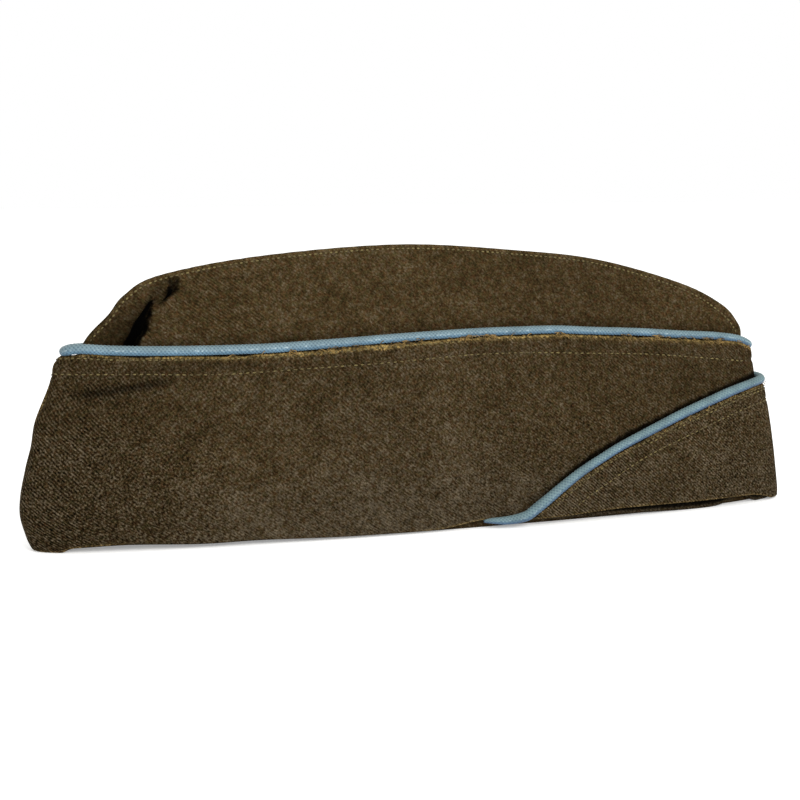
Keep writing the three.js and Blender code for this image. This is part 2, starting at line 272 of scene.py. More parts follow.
def hills(u, v, pitch, seed):
    # smooth random hills about one pitch apart, from -1 to 1
    cells = 97
    grid = np.random.default_rng(seed).uniform(-1, 1, (cells, cells))
    a, b = np.broadcast_arrays(np.asarray(u, float) / pitch + 40.3, np.asarray(v, float) / pitch + 40.7)
    i, j = np.floor(a).astype(int), np.floor(b).astype(int)
    s, t = a - i, b - j
    s, t = s * s * (3 - 2 * s), t * t * (3 - 2 * t)
    i, j, k, m = i % cells, j % cells, (i + 1) % cells, (j + 1) % cells
    return (grid[i, j] * (1 - s) + grid[k, j] * s) * (1 - t) + (grid[i, m] * (1 - s) + grid[k, m] * s) * t


def lineAway(x, z, x0, z0, x1, z1):
    # distance from a line piece, and the share along it
    dx, dz = x1 - x0, z1 - z0
    share = np.clip(((x - x0) * dx + (z - z0) * dz) / (dx * dx + dz * dz), 0, 1)
    return np.hypot(x - x0 - share * dx, z - z0 - share * dz), share


def creaseDepth(creases, x, z):
    depth = np.zeros(np.broadcast(x, z).shape)
    for x0, z0, x1, z1, deep, width in creases:
        depth = np.maximum(depth, deep * bell(lineAway(x, z, x0, z0, x1, z1)[0], width))
    return depth


def rounded(away, radius):
    # profile of a rounded edge: 0 at the edge, 1 from the radius on
    return np.sqrt(np.maximum(0, 1 - (1 - np.clip(away / radius, 0, 1)) ** 2))


# Crown surface
def outlinePoint(t):
    rows = np.array(crown["outline"], float)
    last = len(rows) - 1
    p = np.clip(np.asarray(t, float), 0, 1) * last
    i = np.minimum(np.floor(p).astype(int), last - 1)
    w = (p - i)[..., None]
    a, b, c, d = (rows[np.clip(i + k, 0, last)] for k in (-1, 0, 1, 2))
    u, v = (c - a) / 2, (d - b) / 2
    return (2 * b - 2 * c + u + v) * w**3 + (-3 * b + 3 * c - 2 * u - v) * w**2 + u * w + b


outlineDense = outlinePoint(np.linspace(0, 1, 1601))
summit = int(np.argmax(outlineDense[:, 1]))
crestHeight = outlineDense[summit, 1]


def outlineEnds(z):
    front = np.interp(z, outlineDense[: summit + 1, 1], outlineDense[: summit + 1, 0])
    back = np.interp(z, outlineDense[summit:, 1][::-1], outlineDense[summit:, 0][::-1])
    return front, back


def crownMiddleHalf(z):
    turn = crown["hemTurn"] * np.exp(-np.asarray(z, float) / crown["hemTurnHeight"])
    return crown["halfWidth"] * np.maximum(0, 1 - z / crestHeight) ** crown["taper"] - turn


def crownHalf(x, z):
    front, back = outlineEnds(z)
    along = (2 * x - front - back) / np.maximum(back - front, 1)
    return crownMiddleHalf(z) * np.sqrt(np.maximum(0, 1 - along * along))


def seamAway(x, z):
    # distance from the front seam, crest and back seam
    flat = np.stack([np.ravel(x), np.ravel(z)], 1)
    away = np.empty(len(flat))
    batch = 4000            # keeps the table of distances small
    for k in range(0, len(flat), batch):
        apart = flat[k : k + batch, None, :] - outlineDense[None, ::2, :]
        away[k : k + batch] = np.sqrt((apart**2).sum(2).min(1))
    return away.reshape(np.shape(x))


def foldMarks(x, z):
    # depth of the folds and the shade in them: a slow slope from the front and a lip at the back
    depth = np.zeros(np.broadcast(x, z).shape)
    shade = depth.copy()
    for fold in crown["folds"]:
        rows, fade = fold["rows"], fold["fade"]
        low, high = rows[0][0], rows[-1][0]
        beside = (x - tableCurve(rows, z, 1)) / tableCurve(rows, z, 2) + 0.12 * hills(x, z, 3, 71)
        ends = softStep(z, low, low + fade) * softStep(z, high, high - fade)
        pressed = softStep(beside, -2.6, -0.5) * softStep(beside, 1.35, 0.75)
        depth = np.maximum(depth, fold["depth"] * ends * pressed)
        lip = tableCurve(rows, z, 3) * (1 - softStep(beside, *fold["lip"]))
        dark = np.maximum(softStep(beside, -1.5, -0.8), fold["slope"] * softStep(beside, -6, -1.2))
        paler = softStep(z, 73, 75.5) * softStep(beside, *fold["blotched"])
        blotch = 1 - (0.3 + 0.45 * softStep(hills(x, z, 1.6, 73), -0.1, 0.5)) * paler
        shade = np.maximum(shade, dark * lip * ends * blotch)
    return depth, shade


def panelPlace(across, up):
    last = len(crown["outline"]) - 1
    front, back = crown["frontShoulder"] / last, crown["backShoulder"] / last
    crest = outlinePoint(front + (back - front) * across)
    low, high = outlinePoint(front), outlinePoint(back)
    share = ((crest[..., 0] - low[0]) / (high[0] - low[0]))[..., None]
    frontSeam = outlinePoint(front * up)
    backSeam = outlinePoint(1 + (back - 1) * up)
    return frontSeam + (backSeam - frontSeam) * share + up[..., None] * (crest - low - (high - low) * share)


def crownRelief(side, x, z, away):
    # welt along the seams, the groove of its stitching and the soft waves of used cloth, outwards
    seed = crown["seeds"][side]
    row = tableCurve(crown["welts"], x)
    welt = crown["welt"] * softStep(away - row, 0.9, -0.6)
    pucker = 1 + 0.5 * hills(x, z, 2.6, seed + 5)
    groove = crown["groove"] * pucker * bell(away - row, 0.55)
    waves = 0.32 * hills(x, z, 26, seed) + 0.16 * hills(x, z, 11, seed + 1)
    return welt - groove + waves * softStep(away, 2, 12)


def sewnWall(away):
    # thickness of a panel, which thins out into the seams
    return crown["wall"] * (0.12 + 0.88 * rounded(away, crown["seamRound"]))


def inset(side, x, z):
    # how far folds and creases are pressed into a panel
    if side > 0:
        return np.zeros(np.broadcast(x, z).shape)
    return np.minimum(foldMarks(x, z)[0] + creaseDepth(crown["creases"], x, z), 1.55 * crownHalf(x, z) + 0.1)


def crownPoint(side, x, z, thickness, relief):
    reach = 1.0
    half = lambda p, q: crownHalf(p, q) - inset(side, p, q)
    slopeX = (half(x - reach, z) - half(x + reach, z)) / (2 * reach)
    slopeZ = (half(x, z - reach) - half(x, z + reach)) / (2 * reach)
    away, steepest = seamAway(x, z), crown["steepest"]
    level = softStep(away, 2, 12)
    slopeX, slopeZ = (np.clip(slope * level, -steepest, steepest) for slope in (slopeX, slopeZ))
    size = np.sqrt(1 + slopeX**2 + slopeZ**2)
    out = thickness + relief
    # the panels meet along the seams
    apart = crown["seamGap"] / 2 * softStep(away, 0.2, 3) - crown["overlap"]
    y = apart + half(x, z) + out / size
    return np.stack([x + slopeX / size * out, side * y, z + slopeZ / size * out], -1)


# Curtain surface
def curtainOuterHalf(z):
    share = np.minimum(z / curtain["top"], 1)
    gap = curtain["gapAtHem"] + (curtain["gapAtTop"] - curtain["gapAtHem"]) * share
    return crownMiddleHalf(z) + crown["wall"] + gap + curtain["wall"]


def alongBand(angle):
    across = np.abs(np.sin(angle)) ** curtain["fullnessAtTop"]
    return -np.sign(np.cos(angle)) * np.sqrt(np.maximum(0, 1 - across))


def runAt(angle):
    # distance along the band from the front seam, measured in the plan's length
    along = alongBand(angle)
    return curtain["bandHalf"] * np.where(angle <= np.pi, 1 + along, 3 - along)


def angleAt(run):
    share = np.asarray(run, float) / curtain["bandHalf"]
    along = np.where(share > 2, 3 - share, share - 1)
    quarter = np.arcsin(np.maximum(0, 1 - along * along) ** (1 / curtain["fullnessAtTop"]))
    angle = np.where(along < 0, quarter, np.pi - quarter)
    return np.where(share > 2, 2 * np.pi - angle, angle)


def bandPlan(half, angle, z):
    # x and y of the outer face, seen from above
    front, back = tableCurve(curtain["ends"], z, 1), tableCurve(curtain["ends"], z, 2)
    x = (front + back) / 2 + (back - front) / 2 * alongBand(angle)
    share = np.minimum(z / curtain["top"], 1)
    fullness = curtain["fullnessAtHem"] + (curtain["fullnessAtTop"] - curtain["fullnessAtHem"]) * share
    across = np.abs(np.sin(angle)) ** (curtain["fullnessAtTop"] / fullness)
    return x, half["side"] * curtainOuterHalf(z) * np.sign(np.sin(angle)) * across


def bandNormal(half, angle, z):
    ahead, behind = bandPlan(half, angle + 0.01, z), bandPlan(half, angle - 0.01, z)
    dx, dy = (ahead[0] - behind[0]) * half["side"], (ahead[1] - behind[1]) * half["side"]
    size = np.maximum(np.hypot(dx, dy), 1e-9)
    return -dy / size, dx / size


def bandPoint(half, angle, z, depth):
    x, y = bandPlan(half, angle, z)
    nx, ny = bandNormal(half, angle, z)
    pressed = creaseDepth(half["creases"], x, z) * (angle < np.pi)
    return np.stack([x - nx * (depth + pressed), y - ny * (depth + pressed), z + 0 * x], -1)


def lapAt(half, run):
    return curtain["lap"] * softStep(run, *half["laps"])


# Rows of stitching on the flap: run, distance below its slanting edge
flapRows = [
    [(0, 1.5), (250, 1.3), (288, 0.9), (324, 1), (341, 1.1), (354, 1.3), (364, 1.7), (376, 2)],
    [(0, 6.6), (290, 6.3), (320, 6.5), (332, 6.2), (341, 6.6), (349, 7.4), (359, 7.9), (370, 7.8)],
]


def stitchHeights(half, run):
    # heights of the stitch rows of one half at a run
    if half is leftHalf:
        return [tableCurve(half["stitching"], run)]
    edge = tableCurve(half["edge"], run)
    return [edge - tableCurve(away, run) for away in flapRows]


def bandRelief(half, run, u, z, edgeAway):
    seed = half["seed"]
    relief = 0.3 * hills(u, z, 24, seed) + 0.14 * hills(u, z, 9, seed + 1)
    for height in stitchHeights(half, run):
        pucker = 1 + 0.6 * hills(u, 0, 2.5, seed + 2)
        relief -= curtain["groove"] * pucker * bell(z - height, curtain["grooveWidth"])
        relief += 0.16 * bell(z - height - 3, 2)
    return relief * softStep(edgeAway, 0, 2.5)


# Meshes
def newObject(name, data):
    piece = bpy.data.objects.new(name, data)
    scene.collection.objects.link(piece)
    return piece


def newMesh(name, points, edges, faces, marks):
    # a mesh in the frame's place, with point attributes for the nodes to read
    mesh = bpy.data.meshes.new(name)
    mesh.from_pydata(((points + capPlace) * mm).tolist(), edges, faces)
    for mark, values in marks.items():
        vector = values.ndim == 2
        attribute = mesh.attributes.new(mark, "FLOAT_VECTOR" if vector else "FLOAT", "POINT")
        attribute.data.foreach_set("vector" if vector else "value", values.astype(np.float32).ravel())
    return mesh


def bothFaces(outer, inner):
    return np.concatenate([outer, inner[:, ::-1]], 1)


def clothPiece(name, outer, inner, cloth, marks):
    # closed cloth through rings that go up the outer face and down the inner one
    rings = bothFaces(outer, inner)
    columns, size = rings.shape[:2]
    index = np.arange(columns * size).reshape(columns, size)
    a, b = index[:-1], index[1:]
    sides = np.stack([a, b, np.roll(b, -1, 1), np.roll(a, -1, 1)], -1).reshape(-1, 4)
    k = np.arange(size // 2 - 1)
    caps = np.stack([k, k + 1, size - 2 - k, size - 1 - k], -1)
    faces = np.concatenate([sides, caps, index[-1, 0] + caps[:, ::-1]])
    points = rings.reshape(-1, 3)
    p, q, r, s = (points[faces[:, i]] for i in range(4))
    if (p * (np.cross(q, r) + np.cross(r, s))).sum() < 0:       # the faces look outwards
        faces = faces[:, ::-1]
    marks = {mark: bothFaces(values, values).ravel() for mark, values in marks.items()}
    mesh = newMesh(name, points, [], faces.tolist(), marks)
    corners = np.empty(len(mesh.loops), np.int32)
    mesh.loops.foreach_get("vertex_index", corners)
    flat = bothFaces(cloth, cloth).reshape(-1, 2)[corners]
    mesh.uv_layers.new(name="cloth").uv.foreach_set("vector", flat.astype(np.float32).ravel())
    mesh.shade_smooth()
    mesh.validate()
    print(name, len(mesh.polygons), "faces")
    return newObject(name, mesh)


def turnedCloth(u, v, degrees):
    turn = math.radians(degrees)
    return np.stack([u * math.cos(turn) - v * math.sin(turn), u * math.sin(turn) + v * math.cos(turn)], -1)


def edgeBeside(side, x):
    # height of the curtain's free edge beside a crown panel
    half = leftHalf if side < 0 else rightHalf
    return tableCurve(half["edge"], np.clip(x + curtain["bandHalf"], 0, 2 * curtain["bandHalf"] - 1))


def crownPanel(name, side):
    step, depth = crown["steps"][side], crown["seenDepth"]
    fine = [0, 0.12, 0.3, 0.55, 0.9, 1.3, 1.75, 2.2, 2.65, 3.2]     # rows lie closer along the seams
    tall = np.concatenate([fine, np.arange(3.9, depth, step), np.arange(depth, 95, crown["hiddenStep"])])
    up = np.append(1 - tall / crown["panelHeight"], [0.012, 0.004, 0])[::-1]
    run = np.concatenate([fine, np.arange(3.9, crown["crestLength"] / 2, step)]) / crown["crestLength"]
    across, up = np.meshgrid(np.concatenate([run, [0.5], 1 - run[::-1]]), up, indexing="ij")
    place = panelPlace(across, up)
    x = place[..., 0]
    z = place[..., 1] + (1 - up) * tableCurve(crown["lifts"][side], x)
    away = seamAway(x, z)
    sewn, hem = rounded(away, crown["seamRound"]), rounded(up * 95, crown["hemRound"])
    relief = crownRelief(side, x, z, away) * hem
    outer = crownPoint(side, x, z, sewnWall(away) * (0.5 + 0.5 * hem), relief * sewn)
    inner = crownPoint(side, x, z, crown["wall"] * (0.5 - 0.5 * hem) * sewn, 0 * relief)
    cloth = turnedCloth(-side * x, z, crown["grain"])
    # painted shade just above the curtain's edge, and in the folds of the left panel
    paintedShade = 0.04 * softStep(z - edgeBeside(side, x), 6.2, 3.4)
    if side < 0:
        paintedShade = np.maximum(paintedShade, 1.6 * foldMarks(x, z)[1])
    marks = {
        "paintedShade": paintedShade,
        "wearAndSheen": 0.12 * bell(away, 0.8),
        "rim": 50 + 0 * x,      # far from any free edge
        "bare": 0 * x,
        "grey": 0.02 + 0 * x,
        "ribs": 0.1 + 0.22 * bell(x + 78, 26),
        "nap": 0.78 + 0 * x,
        "soilAndShade": softAreas(crown["soilAndShade"], x, z),
    }
    return clothPiece(name, outer, inner, cloth, marks)


def bandLength(half):
    # angles from the front seam to the free end, and the length of cloth up to each
    dense = np.linspace(curtain["start"], float(angleAt(half["edge"][-1][0])), 4000)
    px, py = bandPlan(half, dense, np.full_like(dense, curtain["top"] / 2))
    return dense, np.concatenate([[0], np.cumsum(np.hypot(np.diff(px), np.diff(py)))])


def frayedAt(arc, seed):
    # how far the free edge has frayed, in long and short stretches
    stretches = softStep(hills(arc, 0, 6, seed + 7), -0.5, 0.5)
    return stretches * softStep(hills(arc, 0, 1.3, seed + 8), -0.6, 0.6)


def curtainBand(name, half):
    seed, step = half["seed"], half["step"]
    dense, length = bandLength(half)
    stops = np.concatenate([[0, 0.15, 0.4, 0.8], np.arange(1.3, length[-1] - 0.5, step), [length[-1]]])
    angle = np.interp(stops, length, dense)[:, None]
    run = runAt(angle)
    slipped = tableCurve(half["frayed"], run)
    low, high = tableCurve(half["lift"], run), tableCurve(half["edge"], run) - slipped
    fine = [0, 0.06, 0.18, 0.36, 0.6, 0.9, 1.3, 1.8]        # rows lie closer along both edges
    tall = 65
    down = np.concatenate([fine, np.arange(2.5, tall - 2.5, step), tall - np.array(fine[::-1])]) / tall
    z = low + (high - low) * np.sort(1 - down)[None, :]
    angle, run, arc = angle + 0 * z, run + 0 * z, stops[:, None] + 0 * z
    edgeAway, hemAway = high - z, z - low
    radius = np.minimum(curtain["edgeRound"], 0.45 * (high - low))
    soft = rounded(edgeAway, radius) * rounded(hemAway, radius) * rounded(arc + 0.15, 0.9)
    x = bandPlan(half, angle, z)[0]
    relief = bandRelief(half, run, arc, z, np.minimum(edgeAway, hemAway))
    nibble = 0.35 * frayedAt(arc, seed) + 0.22 * hills(arc, 0, 4.2, seed + 13) - curtain["edgeRise"]
    up = z - nibble * softStep(edgeAway, 2.5, 0)
    wall, lap = curtain["wall"], lapAt(half, run)
    outer = bandPoint(half, angle, up, wall / 2 * (1 - soft) - lap - relief)
    inner = bandPoint(half, angle, up, wall / 2 * (1 + soft) - lap)
    cloth = turnedCloth(-half["side"] * arc, z, half["grain"])
    # wear along both edges and the front seam, a painted sheen there too, painted shade in the hollows, ribs
    # that show, and soil with painted shade
    hemLine = bell(hemAway - 0.3, 0.4)
    # painted shade along the foot of the hem
    paintedShade = 0.2 * softStep(hemAway, 0.3, -0.1)
    wearAndSheen = 0.2 * (0.3 + 0.7 * softStep(x, -100, -70)) * softStep(edgeAway, 2.1, 0.9)
    ribs = 0.3 + 0.7 * softStep(x - 12 * softStep(z, 25, 50), -112, -134) * (1 - 0.6 * softStep(z, 38, 52))
    ribs = np.maximum(ribs, 0.48 * softStep(run, 275, 300) + 0.42 * softStep(run, 325, 355))
    soilAndShade = softAreas(half["soilAndShade"], x, z)
    if half is leftHalf:
        wearAndSheen = np.maximum(wearAndSheen, 0.4 * hemLine * softStep(run, 120, 150) * softStep(run, 180, 172))
        wearAndSheen = np.maximum(wearAndSheen, 0.35 * hemLine * softStep(run, 36, 24))
        # shade beside the flap that laps over this half
        flapEdge = tableCurve(rightHalf["edge"], 3 * curtain["bandHalf"] - x - curtain["runShift"])
        above = (z - flapEdge) * 0.88 + 0.35 * hills(arc, z, 1.8, seed + 11)
        shade = softStep(above, 6.4, 4.2) * softStep(run, 172, 196)
        paintedShade = np.maximum(paintedShade, 0.9 * shade * (0.1 + 0.9 * softStep(hemAway, 1.1, 2.3)))
        # the pressed crease near the front, with painted shade and ribs that show more
        away, share = lineAway(x, z, -130, 52.2, -89, 57.8)
        pressed = softStep(np.abs(share - 0.48), 0.48, 0.22) * (angle < np.pi)
        paintedShade += pressed * (0.28 * bell(away, 1.2) + 0.05 * bell(away, 4))
        ribs += 0.6 * pressed * bell(away, 2)
        nap = 1 + softAreas(half["nap"], x, z)
        # darker low at the front: soil and painted shade
        soilAndShade += 0.16 * bell(x + 87, 13) * softStep(z, 50, 35)
    else:
        wearAndSheen = np.maximum(0.3 * wearAndSheen, 0.28 * hemLine * softStep(run, 250, 300))
        nap = 1 + softAreas(half["nap"], run, z)
    ashen = 0.06 + 0.22 * bell(x + 15, 50) * (1 - 0.5 * softStep(z, 35, 55))
    ashen += half["ashen"] * softStep(z, 36, 6)
    hidden = np.maximum(0, -0.3 - slipped)      # cloth that has slipped up behind the braid
    marks = {
        # painted shade right under the braid
        "paintedShade": np.maximum(paintedShade, 0.22 * bell(edgeAway, 0.2)),
        # wear, and a painted sheen along the front seam
        "wearAndSheen": np.maximum(wearAndSheen, 0.2 * softStep(arc, 1.6, 0.4)),
        "rim": (edgeAway - hidden) / (1 + 0.9 * softStep(run, 76, 90) * softStep(run, 138, 122)),
        "bare": tableCurve(half["bare"], run) * (0.75 + 0.25 * hills(arc, 0, 4.5, seed + 10)),
        "grey": ashen * softStep(x, -130, -75) + 0.02,
        "ribs": ribs,
        "nap": nap,
        "soilAndShade": soilAndShade,
    }
    return clothPiece(name, outer, inner, cloth, marks)


crownLeft = crownPanel("crown_left_wool", -1)
crownRight = crownPanel("crown_right_wool", 1)
curtainLeft = curtainBand("curtain_left_wool", leftHalf)
curtainRight = curtainBand("curtain_right_wool", rightHalf)
print("cloth made")


# Node trees
def addNode(tree, kind, links=(), out=0, **settings):
    # a node, named with its operation if it has one, and its settings; links gives its inputs, in order or by
    # name or number, a value or another node's socket; out is the socket that is handed back
    kind, _, operation = kind.partition(" ")
    node = tree.nodes.new(kind if "Node" in kind else "ShaderNode" + kind)
    if operation:
        node.operation = operation
    for name, value in settings.items():
        setattr(node, name, value)
    for key, value in links.items() if isinstance(links, dict) else enumerate(links):
        if isinstance(value, bpy.types.NodeSocket):
            tree.links.new(value, node.inputs[key])
        else:
            node.inputs[key].default_value = value
    return node.outputs[out] if node.outputs else node


def linear(code):
    # an sRGB hex colour as linear light
    parts = [int(code[i : i + 2], 16) / 255 for i in (1, 3, 5)]
    return tuple(c / 12.92 if c <= 0.04045 else ((c + 0.055) / 1.055) ** 2.4 for c in parts) + (1.0,)


def newMaterial(name):
    # an empty material and the call that adds nodes to it
    material = bpy.data.materials.new(name)
    material.use_nodes = True
    material.node_tree.nodes.clear()
    return material, partial(addNode, material.node_tree)


# Wool: heathered twill spun from brown, olive and grey fibres. The eye gets a soft matt mottle, fine slanting
# ribs that come and go with the light, a faint fuzzy rim, tan where the nap has worn off along the edges, and
# painted shade.
wool = {
    "brown": "#382413",
    "olive": "#322e19",
    "grey": "#3a3328",
    "bare": "#7e693e",
    "ribPitch": 0.95,       # between the twill ribs
    "ribAngle": 45,
    "ribTone": 0.6,
    "yarn": 0.68,           # width of a yarn's mottle
    "yarnTone": 4.1,
    "blend": 2.0,           # size of the patches of one fibre colour
    "blendTone": 2.2,
    "patch": 6.0,           # size of rubbed and unrubbed spots
    "patchTone": 1.1,
    "cloud": 25.0,          # size of the paler and darker areas
    "cloudTone": 0.6,
    "wander": 3.5,          # length over which the ribs waver
    "tint": 1.6,            # sizes of the spots of brown and olive, of ashy fibres and of wear along the edge
    "ash": 1.9,
    "ripple": 1.6,
    "soilAndShadeTone": -0.4,
    "paintedShadeTone": -3.4,
}


def woolTwill():
    material, add = newMaterial("wool_twill")
    cloth = add("UVMap", uv_map="cloth")
    marks = {mark: add("Attribute", out="Fac", attribute_name=mark)
             for mark in ("paintedShade", "wearAndSheen", "rim", "bare", "grey", "ribs", "nap", "soilAndShade")}
    turn = math.radians(wool["ribAngle"])
    ribWay, yarnWay = (math.sin(turn), math.cos(turn), 0), (0.7 * math.cos(turn), -0.7 * math.sin(turn), 0)
    across = add("VectorMath DOT_PRODUCT", (cloth, ribWay), "Value")
    down = add("VectorMath DOT_PRODUCT", (cloth, yarnWay), "Value")
    drawn = add("CombineXYZ", (across, down))       # yarns run along the ribs
    noise = {}
    for layer, place, shift, detail, roughness in (
        ("wander", cloth, (0, 0, 0), 3, 0.6), ("ripple", cloth, (0, 0, 0), 3, 0.75),
        ("tint", cloth, (37, 11, 0), 3, 0.75), ("ash", cloth, (-23, 51, 0), 4, 0.8),
        ("yarn", drawn, (0, 0, 0), 2, 0.7), ("blend", drawn, (0, 0, 0), 3, 0.7),
        ("patch", drawn, (0, 0, 0), 2, 0.6), ("cloud", drawn, (0, 0, 0), 2, 0.5),
    ):
        place = add("VectorMath ADD", (place, shift))
        sizes = {"Vector": place, "Scale": 1 / wool[layer], "Detail": detail, "Roughness": roughness}
        noise[layer] = add("TexNoise", sizes)
    # light and dark of ribs, yarns, rubbed spots and clouds, added up
    phase = add("Math MULTIPLY_ADD", (noise["wander"], 0.9, across))
    phase = add("Math MULTIPLY", (phase, 2 * math.pi / wool["ribPitch"]))
    rib = add("Math SINE", (phase,))
    rib = add("Math MULTIPLY", (rib, marks["ribs"]))
    tone = add("Math MULTIPLY", (rib, wool["ribTone"]))
    for layer in ("yarn", "blend", "patch", "cloud"):
        level = add("Math SUBTRACT", (noise[layer], 0.5))
        if layer == "yarn":     # yarns stand out where the nap is worn down
            level = add("Math MULTIPLY", (level, marks["nap"]))
        tone = add("Math MULTIPLY_ADD", (level, wool[layer + "Tone"], tone))
    # brown and olive fibres, and grey ones where the cloth is pale
    warm = add("MapRange", (noise["tint"], 0.3, 0.7))
    ashy = add("MapRange", (noise["ash"], 0.4, 0.6, -0.4, 0.4))     # value, from, from, to, to
    grey = add("Math ADD", (ashy, marks["grey"]))
    grey = add("Math MULTIPLY_ADD", (tone, 0.8, grey), use_clamp=True)
    colour = linear(wool["brown"])
    for share, fibre in ((warm, "olive"), (grey, "grey")):
        colour = add("Mix", {0: share, 6: colour, 7: linear(wool[fibre])}, 2, data_type="RGBA")
    # soil and painted shade darken the colour
    soilAndShade = add("Math MULTIPLY", (marks["soilAndShade"], wool["soilAndShadeTone"]))
    soilAndShade = add("Math EXPONENT", (soilAndShade,))
    colour = add("VectorMath SCALE", {0: colour, "Scale": soilAndShade})
    # worn edges with a painted sheen along the front seam, and the thin wavering line along the free edge
    # where the nap is gone
    ripple = add("Math MULTIPLY_ADD", (noise["ripple"], -2.0, 0.55))
    off = add("Math ADD", (marks["rim"], ripple))
    off = add("Math ABSOLUTE", (off,))
    line = add("MapRange", (off, 0.5, 0.2))
    bare = add("Math MULTIPLY", (line, marks["bare"]))
    wearAndSheen = add("Math MAXIMUM", (marks["wearAndSheen"], bare))
    patchy = add("MapRange", (noise["blend"], 0.36, 0.55, 0.5, 1.0))
    wearAndSheen = add("Math MULTIPLY", (wearAndSheen, patchy))
    colour = add("Mix", {0: wearAndSheen, 6: colour, 7: linear(wool["bare"])}, 2, data_type="RGBA")
    # painted shade in the hollows, and as many dark yarns as pale ones
    lit = add("Math MULTIPLY", (marks["paintedShade"], wool["paintedShadeTone"]))
    lit = add("Math EXPONENT", (lit,))
    even = add("Math MULTIPLY_ADD", (tone, 1 / 2.2, 1.0))
    even = add("Math MAXIMUM", (even, 0.1))
    even = add("Math POWER", (even, 2.2))
    lit = add("Math MULTIPLY", (lit, even))
    colour = add("VectorMath SCALE", {0: colour, "Scale": lit})
    # raised ribs and yarns
    height = add("Math MULTIPLY_ADD", (rib, 0.35, noise["yarn"]))
    surface = add("BsdfPrincipled", {
        "Base Color": colour, "Roughness": add("MapRange", (noise["yarn"], 0, 1, 0.98, 0.84)),
        "Normal": add("Bump", {"Strength": 0.8, "Distance": 0.22 * mm, "Height": height}),
        "IOR": 1.5, "Specular IOR Level": 0.02, "Sheen Weight": 0.02, "Sheen Roughness": 0.4,
        "Sheen Tint": linear("#a8966a"),
    })
    add("OutputMaterial", (surface,))
    return material


woolMaterial = woolTwill()
for piece in (crownLeft, crownRight, curtainLeft, curtainRight):
    piece.data.materials.append(woolMaterial)
print("wool ready")

# Braid: rayon cord woven over a core. The eye gets a satin grey-blue in a fine diamond weave, soiled and
# paler on top with painted light, rubbed pale along the middle with a painted highlight, still blue
# underneath with painted shade.
braid = {
    "blue": "#53748a",
    # paler colours for the top: fading and soil, with painted light
    "fadedAndLit": "#647b83",
    "soiledAndLit": "#687c80",
    "grimeTop": "#e8eee6",  # tints of the soiled stretches
    # underneath, the tint is also painted shade, darker and bluer
    "grimeAndShadeLow": "#859bbe",
    # painted shade between the strands of the weave
    "groove": "#33495a",
    "speck": "#a2b2b6",
    "wear": 0.6,            # sizes of the rubbed specks and of paler and darker stretches
    "patch": 7.0,
    "weavePitch": 1.3,      # along the cord, between strands that wind the same way
    "strands": 6,           # that wind each way
    "weaveHeight": 0.06,
    "radius": 1.6,
    "leftRadii": [          # run, radius
        (0, 1.6), (85, 1.6), (110, 1.48), (170, 1.42), (220, 1.36), (280, 1.3), (294, 0.9),
    ],
    "rightRadii": [
        (0, 1.6), (60, 1.6), (275, 1.5), (300, 1.7), (330, 1.66), (350, 1.56), (363, 1.62), (384, 1.95),
    ],
    "leftGrime": [(120, 0), (160, 0.2), (210, 0.2), (250, 0.4), (280, 0.6)],       # run, share
    "rightGrime": [(0, 0.2), (250, 0.6), (290, 1), (384, 0.8)],
    "frontPull": -0.2,      # how far the bend round the front seam is pulled back
    "frontDip": 2.4,        # and how far it hangs down
    "rounds": 6,            # of smoothing along the whole cord, and again round the front seam
    "frontRounds": 40,
    "ringStep": 0.3,
    "sides": 32,
    "tail": [               # x, z, depth into the curtain's face, radius: the end tucked under the hem
        (31, 4.2, -2.0, 1.82), (26.5, 3.2, -1.7, 1.68), (22.2, 2.9, -1.3, 1.42), (18.4, 3, -0.6, 1.05),
        (15, 2.8, 1.2, 0.68),
    ],
}


